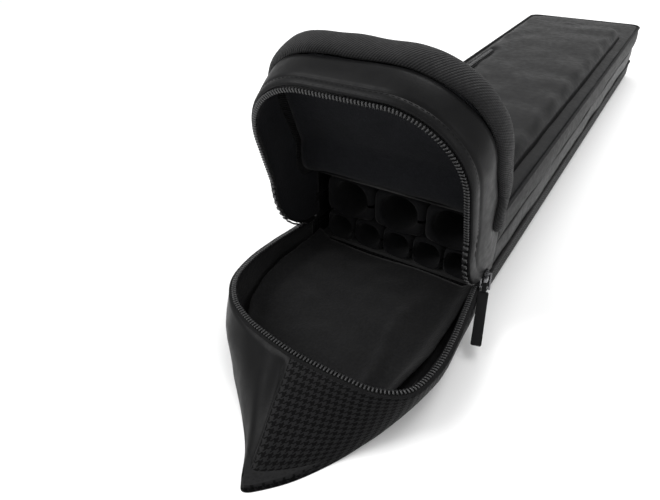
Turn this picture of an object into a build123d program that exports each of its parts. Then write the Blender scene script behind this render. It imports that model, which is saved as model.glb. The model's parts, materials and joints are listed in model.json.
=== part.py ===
from build123d import *
import math
import os

# Cue case for three butts and five shafts, lying on its back with the mouth unzipped.
# Frame: +Z up, +Y from the mouth to the far end, origin on the back face, on the
# centre line, under the plane of the sleeve mouths. All sizes are in millimetres.

# Driving dimensions
HALF_W = 88.0          # half of the outer width
BODY_LEN = 694.0       # from the sleeve mouths to the outside of the far end
WALL = 4.0             # padded fabric wall
FLOOR = 5.0            # padded back panel
BAND_Z = 26.0          # height of the textured back shell on the sides
TOP_Z = 83.0           # outside of the front panel, without the pocket
CASE_Z = 98.0          # overall thickness, at the pocket and the hood
SOFT_GAP = 0.4         # room between neighbouring soft pieces
SEAM_Y = -20.0         # where the back shell ends and the lower lip begins

# Zip line round the mouth: a U in a plane that rises towards the end of the case
ZIP_BACK_Y = -10.0     # where the zip starts on each side
ZIP_BACK_Z = 30.0
ZIP_END_Y = -146.0
ZIP_END_Z = 48.0
ZIP_CORNER_R = 60.0
ZIP_SLOPE = math.degrees(math.atan2(ZIP_END_Z - ZIP_BACK_Z, ZIP_BACK_Y - ZIP_END_Y))
TAPE_W = 5.0
TAPE_T = 1.2
TOOTH = (2.4, 1.5, 1.5)
TOOTH_PITCH = 3.0

# Lower lip of the mouth: its foot reaches far forward and the wall leans back to the zip
LIP_STRAIGHT_Y = -96.0
LIP_TIP_Y = -246.0
LIP_TOP_Z = 60.0       # height to which the lip is drawn before the zip line trims it
LIP_BACK_Y = SEAM_Y - SOFT_GAP
LIP_TOE = 16.0         # how far the hollow stays behind the toe, where the wall is slanted
LIP_MID_ANGLE = 20.0   # half of the flat front of the foot, as an angle of its ellipse
LIP_ZIP_Y = -24.0      # where the lip's tape and teeth start, clear of the slider

# Hood over the mouth
HINGE_Y = -6.0
HINGE_Z = 80.0
HOOD_OPEN = 65.0       # how far the hood stands open as stored
HOOD_BACK_Y = -14.0
HOOD_WALL_TOP = 77.0
BAND_T = 8.0
BAND_PROUD = 2.0
HOOD_TOP_T = 5.0

# Sleeves for the cues
SHAFT_COUNT = 5
SHAFT_PITCH = 30.0
SHAFT_BORE_R = 12.0
SHAFT_H = 28.0
BUTT_COUNT = 3
BUTT_PITCH = 50.0
BUTT_BORE_R = 17.5
BUTT_H = 38.0
SLEEVE_Y = 3.0
SLEEVE_LEN = 672.0
BOARD_T = 3.0

# Front pocket
POCKET_HALF_W = 74.0
POCKET_Y0 = 24.0
POCKET_Y1 = 600.0
POCKET_CORNER_R = 18.0
POCKET_PANEL_T = 4.0
POCKET_ZIP_X = -58.0
POCKET_ZIP_Y0 = 90.0
POCKET_ZIP_LEN = 300.0
POCKET_SLOT_HALF = 6.0
POCKET_TAPE_GAP = 1.5
POCKET_TOOTH = (2.6, 1.6, 1.2)
POCKET_SLIDER_Y = POCKET_ZIP_Y0 + 8.0
POCKET_SLIDER = (7.0, 11.0, 3.0)
POCKET_ARCH_R = 3.2
POCKET_ARCH_T = 2.4
POCKET_EYE_R = 1.3
POCKET_EYE_Z = CASE_Z + 1.6
POCKET_PULL = (7.6, 23.0, 1.6)
POCKET_PULL_ARM = 8.0
POCKET_PIN_R = 0.8
PATCH_Y = 118.0
PATCH_R = 27.0

# Main slider and its pull, at the right-hand end of the mouth zip
SLIDER = (10.0, 12.0, 4.6)
SLIDER_AT = (87.0, -15.0, 33.4)
BAIL = (2.4, 6.0, 6.6)
BAIL_HOLE = 3.4
ANCHOR = (90.0, -18.0, 39.0)
LINK_R = 1.1
LINK_W = 7.0
LINK_LEN = 12.0
TAB = (8.0, 44.0, 2.2)
TAB_LUG = (3.2, 8.0, 3.8)
PULL_YAW = 16.0
PULL_DROP = 29.0
END_STOP = (6.0, 5.0, 2.4)

# Carry handle on the left side
HANDLE_Y = 350.0
HANDLE_SPAN = 130.0
HANDLE_RISE = 16.0
HANDLE_W = 26.0
HANDLE_T = 4.0
HANDLE_LEAN = 26.0     # length of case over which the grip rises
HANDLE_BEND_R = 22.0
ANCHOR_T = 1.5
ANCHOR_LEN = 34.0
HANDLE_Z = (BAND_Z + TOP_Z - WALL) / 2

os.makedirs("parts", exist_ok=True)


def save(name, shape):
    """Write one node as parts/NAME.step."""
    shape.label = name
    export_step(shape, f"parts/{name}.step")


def block(x0, x1, y0, y1, z0, z1):
    """Box between two corners."""
    return Pos((x0 + x1) / 2, (y0 + y1) / 2, (z0 + z1) / 2) * Box(x1 - x0, y1 - y0, z1 - z0)


def group(solids):
    """Several separate solids as one node."""
    return Compound(children=list(solids))


def zip_z(y):
    """Height of the zip line above the back face at a given y."""
    return ZIP_BACK_Z + (ZIP_BACK_Y - y) * math.tan(math.radians(ZIP_SLOPE))


def u_points(grow):
    """Key points of the U outline, grown outwards by a distance."""
    half = HALF_W + grow
    radius = ZIP_CORNER_R + grow
    end = ZIP_END_Y - grow
    return half, radius, end


def u_face(grow, back_y):
    """Face inside the U outline, closed by a straight line at back_y."""
    half, radius, end = u_points(grow)
    turn = radius * math.sqrt(0.5)
    right_mid = (half - radius + turn, end + radius - turn)
    with BuildSketch() as sketch:
        with BuildLine():
            Line((half, back_y), (half, end + radius))
            ThreePointArc((half, end + radius), right_mid, (half - radius, end))
            Line((half - radius, end), (-half + radius, end))
            ThreePointArc((-half + radius, end), (-right_mid[0], right_mid[1]), (-half, end + radius))
            Line((-half, end + radius), (-half, back_y))
            Line((-half, back_y), (half, back_y))
        make_face()
    return sketch.sketch


def u_prism(grow, back_y, z0, z1):
    """Upright solid inside the U outline."""
    return Pos(0, 0, z0) * extrude(u_face(grow, back_y), z1 - z0)


def slab(low, high):
    """Thick slab parallel to the zip plane, between two offsets from it."""
    size = 1200.0
    sheet = Pos(0, 0, (low + high) / 2) * Box(size, size, high - low)
    return Pos(0, ZIP_BACK_Y, ZIP_BACK_Z) * Rot(-ZIP_SLOPE, 0, 0) * sheet


def u_wall(grow, thick, back_y, z0, z1):
    """U-shaped upright wall, open at back_y."""
    outer = u_prism(grow, back_y, z0, z1)
    inner = u_prism(grow - thick, back_y + 1, z0 - 1, z1 + 1)
    return outer - inner


def tape(low, back_y):
    """Flat zip tape that follows the U, its thickness starting at an offset from the zip plane."""
    tall = u_wall(-WALL - SOFT_GAP, TAPE_W, back_y, 0, CASE_Z)
    return tall & slab(low, low + TAPE_T)


def u_path(grow, start_y):
    """Outline that the teeth follow."""
    half, radius, end = u_points(grow)
    legs = [
        Line((half, start_y), (half, end + radius)),
        CenterArc((half - radius, end + radius), radius, 0, -90),
        Line((half - radius, end), (-half + radius, end)),
        CenterArc((-half + radius, end + radius), radius, -90, -90),
        Line((-half, end + radius), (-half, start_y)),
    ]
    return legs


def teeth(offset, phase, start_y):
    """Separate teeth along the U, at an offset from the zip plane."""
    solids = []
    for leg in u_path(-WALL - TAPE_W - 2.0, start_y):
        count = int((leg.length - phase) // TOOTH_PITCH)
        for i in range(count):
            along = (phase + TOOTH_PITCH * (i + 0.5)) / leg.length
            point = leg @ min(along, 1.0)
            side = leg % min(along, 1.0)
            turn = math.degrees(math.atan2(side.Y, side.X))
            spot = Pos(point.X, point.Y, zip_z(point.Y) + offset)
            solids.append(spot * Rot(-ZIP_SLOPE, 0, 0) * Rot(0, 0, turn + 90) * Box(*TOOTH))
    return group(solids)


def hood_place(shape):
    """Turn a piece drawn on the closed case to where the open hood holds it."""
    swing = Pos(0, HINGE_Y, HINGE_Z) * Rot(-HOOD_OPEN, 0, 0) * Pos(0, -HINGE_Y, -HINGE_Z)
    return swing * shape


# Back shell and body panels

def base_shell():
    """Textured back panel with its low side walls and far end wall."""
    outer = block(-HALF_W, HALF_W, SEAM_Y, BODY_LEN, 0, BAND_Z)
    inner = block(-HALF_W + WALL, HALF_W - WALL, SEAM_Y - 1, BODY_LEN - WALL, FLOOR, BAND_Z + 1)
    return outer - inner


def side_gusset(sign):
    """Smooth side panel above the textured shell."""
    x0, x1 = sorted((sign * (HALF_W - WALL), sign * HALF_W))
    return block(x0, x1, 0, BODY_LEN, BAND_Z, TOP_Z - WALL)


def end_gusset():
    """Smooth panel that closes the far end."""
    inner_half = HALF_W - WALL
    return block(-inner_half, inner_half, BODY_LEN - WALL, BODY_LEN, BAND_Z, TOP_Z - WALL)


def front_panel():
    """Padded panel under the pocket, which closes the front of the body."""
    return block(-HALF_W, HALF_W, 0, BODY_LEN, TOP_Z - WALL, TOP_Z)


def stiff_board(z0):
    """Stiffener that keeps a panel flat."""
    inner_half = HALF_W - WALL - 1
    return block(-inner_half, inner_half, SLEEVE_Y, BODY_LEN - WALL - 1, z0, z0 + BOARD_T)


# Lower lip

def lip_foot(inset, toe):
    """Outline of the foot of the lip: straight sides, then half an ellipse."""
    half = HALF_W - inset
    long = LIP_STRAIGHT_Y - LIP_TIP_Y - toe
    mid = 90 - LIP_MID_ANGLE
    with BuildSketch() as sketch:
        with BuildLine():
            Line((half, LIP_BACK_Y), (half, LIP_STRAIGHT_Y))
            for start, size in ((-mid, mid), (mid - 180, 180 - 2 * mid), (-180, mid)):
                EllipticalCenterArc((0, LIP_STRAIGHT_Y), half, long, start, arc_size=size)
            Line((-half, LIP_STRAIGHT_Y), (-half, LIP_BACK_Y))
            Line((-half, LIP_BACK_Y), (half, LIP_BACK_Y))
        make_face()
    return sketch.sketch


def lip_body(inset, toe, z0):
    """Solid nose of the lip from its foot to above the zip line."""
    foot = Pos(0, 0, z0) * lip_foot(inset, toe)
    crown = Pos(0, 0, LIP_TOP_Z) * u_face(-inset, LIP_BACK_Y)
    return loft([foot.face(), crown.face()], ruled=True)


def lip_shell():
    """Textured outer lip, hollow and open at the zip line."""
    hollow = lip_body(WALL, LIP_TOE, FLOOR)
    mouth = block(-HALF_W + WALL, HALF_W - WALL, LIP_BACK_Y - 10, 1, FLOOR, CASE_Z)
    return lip_body(0, 0, 0) - hollow - mouth - slab(-1.6, 200)


def lip_lining():
    """Soft lining of the lip's floor."""
    sheet = Pos(0, 0, FLOOR) * extrude(lip_foot(WALL + 4, LIP_TOE + 8), 1.2)
    return sheet - block(-HALF_W, HALF_W, LIP_BACK_Y - 2, 2, 0, CASE_Z)


# Hood

def hood_wall():
    """Smooth side wall of the hood, from the zip to the ribbed band."""
    wall = u_wall(0, WALL, HOOD_BACK_Y - 16, 0, HOOD_WALL_TOP) & slab(1.6, 200)
    return hood_place(wall)


def hood_band():
    """Ribbed band round the hood's edge."""
    band = u_wall(BAND_PROUD, BAND_T, HOOD_BACK_Y, HOOD_WALL_TOP, CASE_Z - 1)
    return hood_place(band)


def hood_top():
    """Padded top panel of the hood, inside the ribbed band."""
    inset = BAND_PROUD - BAND_T
    return hood_place(u_prism(inset, HOOD_BACK_Y, CASE_Z - 1 - HOOD_TOP_T, CASE_Z - 1))


def hood_lining():
    """Lining panel inside the hood."""
    high = CASE_Z - 1 - HOOD_TOP_T - SOFT_GAP
    return hood_place(u_prism(-BAND_T, HOOD_BACK_Y - 2, high - 2.5, high))


# Sleeves

def sleeve(width, height, bore_r, x, z):
    """Square foam sleeve with a round bore right through."""
    body = Box(width, SLEEVE_LEN, height) - Rot(90, 0, 0) * Cylinder(bore_r, SLEEVE_LEN + 2)
    return Pos(x, SLEEVE_Y + SLEEVE_LEN / 2, z) * body


def sleeve_row(name, count, pitch, height, bore_r, z):
    """One row of equal sleeves side by side."""
    for i in range(count):
        x = pitch * (i - (count - 1) / 2)
        save(f"{name}_{i + 1}", sleeve(pitch - 0.2, height, bore_r, x, z))


def end_pad():
    """Foam pad that the cues stand on."""
    inner_half = HALF_W - WALL - 1
    y0 = SLEEVE_Y + SLEEVE_LEN
    low = FLOOR + BOARD_T
    return block(-inner_half, inner_half, y0, BODY_LEN - WALL - 1, low, low + SHAFT_H + BUTT_H)


# Front pocket

def pocket_block(inset, z0, z1):
    """Rounded block the size of the pocket."""
    half = POCKET_HALF_W - inset
    length = POCKET_Y1 - POCKET_Y0 - 2 * inset
    outline = RectangleRounded(2 * half, length, POCKET_CORNER_R - inset)
    return Pos(0, (POCKET_Y0 + POCKET_Y1) / 2, z0) * extrude(outline, z1 - z0)


def pocket_gusset():
    """Low wall round the pocket."""
    high = CASE_Z - POCKET_PANEL_T
    return pocket_block(0, TOP_Z, high) - pocket_block(3, TOP_Z - 1, high + 1)


def pocket_slot():
    """Gap in the pocket panel where its zip runs."""
    x0, x1 = POCKET_ZIP_X - POCKET_SLOT_HALF, POCKET_ZIP_X + POCKET_SLOT_HALF
    return block(x0, x1, POCKET_ZIP_Y0, POCKET_ZIP_Y0 + POCKET_ZIP_LEN, 0, 200)


def pocket_panel():
    """Front of the pocket, with the gap for the zip."""
    return pocket_block(0, CASE_Z - POCKET_PANEL_T, CASE_Z) - pocket_slot()


def pocket_tape():
    """Pair of tapes that fill the gap on both sides of the teeth."""
    z0 = CASE_Z - POCKET_PANEL_T
    filled = pocket_slot() & block(-HALF_W, HALF_W, 0, BODY_LEN, z0, z0 + 1)
    x0, x1 = POCKET_ZIP_X - POCKET_TAPE_GAP, POCKET_ZIP_X + POCKET_TAPE_GAP
    return group((filled - block(x0, x1, 0, BODY_LEN, 0, 200)).solids())


def pocket_teeth():
    """Closed row of teeth of the pocket zip."""
    count = int(POCKET_ZIP_LEN // TOOTH_PITCH)
    z = CASE_Z - POCKET_PANEL_T + POCKET_TOOTH[2] / 2
    step = [POCKET_ZIP_Y0 + TOOTH_PITCH * (i + 0.5) for i in range(count)]
    return group(Pos(POCKET_ZIP_X, y, z) * Box(*POCKET_TOOTH) for y in step)


def pocket_slider():
    """Slider of the pocket zip, with the small arch that holds its pull."""
    x, y = POCKET_ZIP_X, POCKET_SLIDER_Y
    low = CASE_Z - 2.5
    high = low + POCKET_SLIDER[2]
    body = Pos(x, y, (low + high) / 2) * Box(*POCKET_SLIDER)
    arch = Pos(x, y, high) * Rot(0, 90, 0) * Cylinder(POCKET_ARCH_R, POCKET_ARCH_T)
    eye = Pos(x, y, POCKET_EYE_Z) * Rot(0, 90, 0) * Cylinder(POCKET_EYE_R, POCKET_ARCH_T + 2)
    above = block(x - 5, x + 5, y - 5, y + 5, high, high + 5)
    return body + (arch & above) - eye


def pocket_pull():
    """Flat pull through the pocket slider's arch."""
    width, length, thick = POCKET_PULL
    x, y, z = POCKET_ZIP_X, POCKET_SLIDER_Y, POCKET_EYE_Z
    pin = Pos(x, y, z) * Rot(0, 90, 0) * Cylinder(POCKET_PIN_R, width)
    grip = block(x - width / 2, x + width / 2, y - thick / 2, y + POCKET_PULL_ARM + length,
                 z - thick / 2, z + thick / 2)
    gap = block(x - width / 2 + thick, x + width / 2 - thick, y - thick, y + POCKET_PULL_ARM,
                z - thick, z + thick)
    return grip - gap + pin


def emblem_patch():
    """Round raised patch on the front of the pocket."""
    return Pos(0, PATCH_Y, CASE_Z) * extrude(Circle(PATCH_R), 1.2)


# Mouth slider and pull

def pull_frame():
    """Place and direction of the mouth zip's pull: +Y runs down the pull."""
    return Pos(*ANCHOR) * Rot(0, 0, 180 + PULL_YAW) * Rot(-PULL_DROP, 0, 0)


def zip_slider():
    """Slider at the open end of the mouth zip, with the bail that holds its link."""
    body = Pos(*SLIDER_AT) * Box(*SLIDER)
    body = fillet(body.edges().filter_by(Axis.Z), 2.5)
    top = SLIDER_AT[2] + SLIDER[2] / 2
    bail = Pos(0, 0, top + BAIL[2] / 2 - 0.2) * Box(*BAIL)
    hole = Pos(0, 0, ANCHOR[2]) * Box(BAIL[0] + 2, BAIL_HOLE, BAIL_HOLE)
    return body + Pos(ANCHOR[0], ANCHOR[1], 0) * Rot(0, 0, PULL_YAW) * (bail - hole)


def link_bar(length, x, y, turn):
    """One straight bar of the wire link."""
    return Pos(x, y, 0) * turn * Cylinder(LINK_R, length)


def zip_pull_link():
    """Wire loop between the slider and the pull."""
    side = LINK_W / 2
    across = Rot(0, 90, 0)
    along = Rot(90, 0, 0)
    loop = link_bar(LINK_W, 0, 0, across) + link_bar(LINK_W, 0, LINK_LEN, across)
    for x in (-side, side):
        loop += link_bar(LINK_LEN + 2 * LINK_R, x, LINK_LEN / 2, along)
    return pull_frame() * loop


def zip_pull_tab():
    """Long flat pull that hangs from the link."""
    width, length, thick = TAB
    start = LINK_LEN - BAIL_HOLE
    lug = Pos(0, start + TAB_LUG[1] / 2, 0) * Box(*TAB_LUG)
    lug -= Pos(0, LINK_LEN, 0) * Box(TAB_LUG[0] + 2, BAIL_HOLE, TAB_LUG[2] - 1)
    blade = Pos(0, start + TAB_LUG[1] - 0.5 + length / 2, 0) * Box(width, length, thick)
    blade = fillet(blade.edges().filter_by(Axis.Z), 1.2)
    return pull_frame() * (lug + blade)


def zip_end_stop():
    """Metal stop at the far end of the mouth zip, on the left."""
    return Pos(-SLIDER_AT[0], SLIDER_AT[1], ZIP_BACK_Z - 1.5) * Box(*END_STOP)


# Handle

def carry_handle():
    """Webbing grip that arches off the left side."""
    x = -HALF_W - ANCHOR_T
    y0, y1 = HANDLE_Y - HANDLE_SPAN / 2, HANDLE_Y + HANDLE_SPAN / 2
    path = FilletPolyline((x, y0), (x - HANDLE_RISE, y0 + HANDLE_LEAN),
                          (x - HANDLE_RISE, y1 - HANDLE_LEAN), (x, y1), radius=HANDLE_BEND_R)
    start, ahead = path @ 0, path % 0
    section = Plane(origin=(start.X, start.Y, HANDLE_Z), x_dir=(0, 0, 1), z_dir=(ahead.X, ahead.Y, 0))
    grip = sweep(section * Rectangle(HANDLE_W, HANDLE_T), Pos(0, 0, HANDLE_Z) * path)
    return grip - block(x, x + 30, y0 - 50, y1 + 50, 0, CASE_Z)


def handle_anchors():
    """Stitched patches that hold the handle's ends."""
    solids = []
    for sign in (-1, 1):
        y = HANDLE_Y + sign * (HANDLE_SPAN / 2 + 6)
        patch = Box(ANCHOR_T, ANCHOR_LEN, HANDLE_W + 6)
        solids.append(Pos(-HALF_W - ANCHOR_T / 2, y, HANDLE_Z) * patch)
    return group(solids)


save("base_shell", base_shell())
save("side_gusset_left", side_gusset(-1))
save("side_gusset_right", side_gusset(1))
save("end_gusset", end_gusset())
save("front_panel", front_panel())
save("base_board", stiff_board(FLOOR))
save("front_board", stiff_board(FLOOR + BOARD_T + SHAFT_H + BUTT_H + 0.5))
save("lip_shell", lip_shell())
save("lip_lining", lip_lining())
save("lip_zip_tape", tape(-0.6 - TAPE_T, LIP_ZIP_Y))
save("lip_zip_teeth", teeth(-1.1, 0, LIP_ZIP_Y))
save("hood_wall", hood_wall())
save("hood_band", hood_band())
save("hood_top", hood_top())
save("hood_lining", hood_lining())
save("hood_zip_tape", hood_place(tape(0.6, HOOD_BACK_Y - 16)))
save("hood_zip_teeth", hood_place(teeth(1.1, TOOTH_PITCH / 2, HOOD_BACK_Y - 18)))
shaft_z = FLOOR + BOARD_T + SHAFT_H / 2
butt_z = FLOOR + BOARD_T + SHAFT_H + BUTT_H / 2
sleeve_row("shaft_sleeve", SHAFT_COUNT, SHAFT_PITCH, SHAFT_H, SHAFT_BORE_R, shaft_z)
sleeve_row("butt_sleeve", BUTT_COUNT, BUTT_PITCH, BUTT_H, BUTT_BORE_R, butt_z)
save("end_pad", end_pad())
save("pocket_gusset", pocket_gusset())
save("pocket_panel", pocket_panel())
save("pocket_zip_tape", pocket_tape())
save("pocket_zip_teeth", pocket_teeth())
save("pocket_slider", pocket_slider())
save("pocket_pull", pocket_pull())
save("emblem_patch", emblem_patch())
save("zip_slider", zip_slider())
save("zip_pull_link", zip_pull_link())
save("zip_pull_tab", zip_pull_tab())
save("zip_end_stop", zip_end_stop())
save("carry_handle", carry_handle())
save("handle_anchors", handle_anchors())
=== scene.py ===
import json
import math

import bmesh
import bpy
from mathutils import Matrix, Vector, noise
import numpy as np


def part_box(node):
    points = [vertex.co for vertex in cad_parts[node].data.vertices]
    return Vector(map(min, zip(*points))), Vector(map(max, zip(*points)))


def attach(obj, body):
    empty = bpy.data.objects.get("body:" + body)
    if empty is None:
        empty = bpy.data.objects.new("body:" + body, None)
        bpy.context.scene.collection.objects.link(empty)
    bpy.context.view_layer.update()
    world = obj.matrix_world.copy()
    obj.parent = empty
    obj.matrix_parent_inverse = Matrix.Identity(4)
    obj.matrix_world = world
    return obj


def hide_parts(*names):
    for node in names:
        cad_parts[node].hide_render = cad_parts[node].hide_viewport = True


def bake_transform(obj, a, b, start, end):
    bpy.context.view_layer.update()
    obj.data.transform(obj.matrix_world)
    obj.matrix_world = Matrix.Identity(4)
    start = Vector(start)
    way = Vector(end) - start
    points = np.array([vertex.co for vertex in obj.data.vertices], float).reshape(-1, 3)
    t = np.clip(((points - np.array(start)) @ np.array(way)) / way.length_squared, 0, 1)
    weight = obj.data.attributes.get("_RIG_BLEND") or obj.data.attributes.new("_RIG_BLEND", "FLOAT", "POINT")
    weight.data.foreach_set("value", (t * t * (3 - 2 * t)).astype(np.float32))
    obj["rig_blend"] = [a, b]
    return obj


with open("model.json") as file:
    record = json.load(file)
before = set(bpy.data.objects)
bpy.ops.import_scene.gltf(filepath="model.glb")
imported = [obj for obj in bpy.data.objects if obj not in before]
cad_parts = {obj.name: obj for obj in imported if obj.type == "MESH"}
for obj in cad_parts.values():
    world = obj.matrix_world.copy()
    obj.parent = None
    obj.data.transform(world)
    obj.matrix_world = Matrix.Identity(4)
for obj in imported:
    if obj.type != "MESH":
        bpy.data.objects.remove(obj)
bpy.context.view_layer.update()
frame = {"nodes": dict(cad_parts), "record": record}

# Without a seed of its own the noise takes the clock, and the folds change from run to run.
noise.seed_set(7)

# Lengths below are in millimetres until mesh_piece() scales them to metres.
MM = 0.001
HINGE = next(j for j in frame["record"]["behaviour"]["joints"] if j["name"] == "hood_hinge")
HINGE_Y = HINGE["pos_m"][1] / MM
HINGE_Z = HINGE["pos_m"][2] / MM
HOOD_OPEN = -HINGE["range_deg"][0]


def box_mm(node):
    """Lowest and highest corner of a CAD node, in millimetres."""
    low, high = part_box(node)
    return [v / MM for v in low], [v / MM for v in high]


SHELL_HIGH = box_mm("base_shell")[1]
POCKET_LOW, POCKET_HIGH = box_mm("pocket_panel")
POCKET_TAPE_LOW, POCKET_TAPE_HIGH = box_mm("pocket_zip_tape")
PATCH_LOW, PATCH_HIGH = box_mm("emblem_patch")
HANDLE_LOW, HANDLE_HIGH = box_mm("carry_handle")
ANCHOR_LOW, ANCHOR_HIGH = box_mm("handle_anchors")

HALF_W = SHELL_HIGH[0]
BODY_END = SHELL_HIGH[1]
CORNER_R = 14.0  # far corners of the body, in plan
SHELL_TOP = SHELL_HIGH[2]
TOP_Z = box_mm("front_panel")[1][2]
CASE_Z = POCKET_HIGH[2]

# Zip line round the mouth
ZIP_BACK_Y = -10.0
ZIP_BACK_Z = 30.0
ZIP_END_Y = -146.0
ZIP_END_Z = 48.0
ZIP_CORNER_R = 60.0
ZIP_RISE = (ZIP_END_Z - ZIP_BACK_Z) / (ZIP_BACK_Y - ZIP_END_Y)

# Where the soft parts of the mouth meet the body, and where the lip starts to bend down
BODY_FRONT_Y = -8.0
LIP_BEND_START_Y = -12.0
LIP_BEND_END_Y = -40.0

# Where the hood's fabric bends, on the closed case
BEND_START_Y = -4.0
BEND_END_Y = -46.0


def clamp01(t):
    return max(0.0, min(1.0, t))


def smooth(t):
    t = clamp01(t)
    return t * t * (3 - 2 * t)


def mix(a, b, t):
    return a + (b - a) * t


def spread(n):
    """n even steps from -1 to 1."""
    return [mix(-1, 1, k / n) for k in range(n + 1)]


def zip_z(y):
    """Height of the zip line at y on the closed case."""
    return ZIP_BACK_Z + (ZIP_BACK_Y - y) * ZIP_RISE


# ---------------- materials

class Shader:
    """Small helper that builds one node material."""

    def __init__(self, name):
        self.material = bpy.data.materials.new(name)
        self.material.use_nodes = True
        self.tree = self.material.node_tree
        self.bsdf = self.tree.nodes["Principled BSDF"]

    def node(self, kind, **values):
        made = self.tree.nodes.new(kind)
        for key, value in values.items():
            if hasattr(made, key):
                setattr(made, key, value)
            else:
                made.inputs[key.replace("_", " ")].default_value = value
        return made

    def link(self, source, target):
        self.tree.links.new(source, target)

    def math(self, operation, a, b=None):
        made = self.tree.nodes.new("ShaderNodeMath")
        made.operation = operation
        for socket, value in zip(made.inputs, (a, b)):
            if value is None:
                continue
            if isinstance(value, (int, float)):
                socket.default_value = value
            else:
                self.link(value, socket)
        return made.outputs[0]

    def place(self):
        """Place on the piece, in its own coordinates."""
        return self.node("ShaderNodeTexCoord").outputs["Object"]

    def cloth(self):
        """Running length along the cloth and across it, in metres."""
        source = self.node("ShaderNodeUVMap")
        source.uv_map = "cloth"
        split = self.node("ShaderNodeSeparateXYZ")
        self.link(source.outputs["UV"], split.inputs[0])
        return split.outputs[0], split.outputs[1]

    def noise(self, scale, detail=3.0):
        made = self.node("ShaderNodeTexNoise", Scale=scale, Detail=detail)
        self.link(self.place(), made.inputs["Vector"])
        return made.outputs["Fac"]

    def cells(self, scale):
        made = self.node("ShaderNodeTexVoronoi", Scale=scale)
        made.feature = "SMOOTH_F1"
        self.link(self.place(), made.inputs["Vector"])
        return made.outputs["Distance"]

    def colour_mix(self, factor, low, high):
        made = self.tree.nodes.new("ShaderNodeMix")
        made.data_type = "RGBA"
        made.inputs["A"].default_value = (*low, 1)
        made.inputs["B"].default_value = (*high, 1)
        self.link(factor, made.inputs["Factor"])
        return made.outputs["Result"]

    def ramp(self, factor, low, high, to_low=0.0, to_high=1.0):
        made = self.node("ShaderNodeMapRange")
        made.inputs["From Min"].default_value = low
        made.inputs["From Max"].default_value = high
        made.inputs["To Min"].default_value = to_low
        made.inputs["To Max"].default_value = to_high
        self.link(factor, made.inputs["Value"])
        return made.outputs["Result"]

    def bump(self, height, strength, distance, after=None):
        made = self.node("ShaderNodeBump", Strength=strength, Distance=distance)
        self.link(height, made.inputs["Height"])
        if after is not None:
            self.link(after, made.inputs["Normal"])
        return made.outputs["Normal"]

    def finish(self, colour, roughness, normal, **sockets):
        self.link(colour, self.bsdf.inputs["Base Color"])
        self.link(roughness, self.bsdf.inputs["Roughness"])
        self.link(normal, self.bsdf.inputs["Normal"])
        for key, value in sockets.items():
            self.bsdf.inputs[key.replace("_", " ")].default_value = value
        return self.material


def vinyl(name, dark, light, rough, grain=1300.0, depth=0.00012):
    """Coated fabric with a fine leather grain, soft creases and a painted highlight along its convex edges.
    """
    s = Shader(name)
    cloud = s.noise(22.0, 4.0)
    # Painted highlight: convex edges and creases are lightened in the colour, standing in for the light that
    # they catch.
    edge_highlight = s.ramp(s.node("ShaderNodeNewGeometry").outputs["Pointiness"], 0.5, 0.56)
    tone = s.math("ADD", s.math("MULTIPLY", cloud, 0.55), s.math("MULTIPLY", edge_highlight, 0.6))
    colour = s.colour_mix(tone, dark, light)
    roughness = s.ramp(s.noise(160.0, 3.0), 0.3, 0.7, rough - 0.05, rough + 0.08)
    normal = s.bump(s.cells(grain), 0.35, depth)
    normal = s.bump(s.noise(55.0, 3.0), 0.25, 0.0006, normal)
    return s.finish(colour, roughness, normal, Specular_IOR_Level=0.085)


def houndstooth(name, dark, light, thread):
    """Coated fabric embossed with a four-and-four check in a two-and-two twill."""
    s = Shader(name)
    u, v = s.cloth()
    across = s.math("MULTIPLY", u, 1.0 / thread)
    along = s.math("MULTIPLY", v, 1.0 / thread)
    i = s.math("FLOOR", across)
    j = s.math("FLOOR", along)
    warp = s.math("LESS_THAN", s.math("FLOORED_MODULO", i, 8.0), 3.5)
    weft = s.math("LESS_THAN", s.math("FLOORED_MODULO", j, 8.0), 3.5)
    over = s.math("LESS_THAN", s.math("FLOORED_MODULO", s.math("ADD", i, j), 4.0), 1.5)
    under = s.math("SUBTRACT", 1.0, over)
    tooth = s.math("ADD", s.math("MULTIPLY", warp, over), s.math("MULTIPLY", weft, under))
    cloud = s.math("MULTIPLY", s.noise(30.0), 0.35)
    tone = s.math("SUBTRACT", s.math("ADD", tooth, 0.15), cloud)
    colour = s.colour_mix(tone, dark, light)
    roughness = s.ramp(tooth, 0.0, 1.0, 0.62, 0.42)
    fibre = s.cells(2600.0)
    height = s.math("ADD", s.math("MULTIPLY", tooth, 0.8), s.math("MULTIPLY", fibre, 0.5))
    normal = s.bump(height, 0.6, 0.00025)
    return s.finish(colour, roughness, normal, Specular_IOR_Level=0.055)


def ribbed(name, dark, light, pitch, lean):
    """Webbing woven in narrow slanting ribs."""
    s = Shader(name)
    u, v = s.cloth()
    slant = s.math("ADD", u, s.math("MULTIPLY", v, lean))
    wave = s.math("SINE", s.math("MULTIPLY", slant, 2 * math.pi / pitch))
    cross = s.math("SINE", s.math("MULTIPLY", v, 2 * math.pi / (pitch * 0.7)))
    rib = s.math("ADD", s.math("MULTIPLY", wave, 0.5), 0.5)
    tone = s.math("ADD", s.math("MULTIPLY", rib, 0.6), s.math("MULTIPLY", s.noise(40.0), 0.5))
    colour = s.colour_mix(tone, dark, light)
    roughness = s.ramp(s.noise(300.0), 0.3, 0.7, 0.6, 0.8)
    height = s.math("ADD", rib, s.math("MULTIPLY", cross, 0.18))
    normal = s.bump(height, 0.8, 0.0005)
    normal = s.bump(s.noise(2500.0, 2.0), 0.3, 0.0001, normal)
    return s.finish(colour, roughness, normal, Specular_IOR_Level=0.16, Sheen_Weight=0.04)


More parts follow.
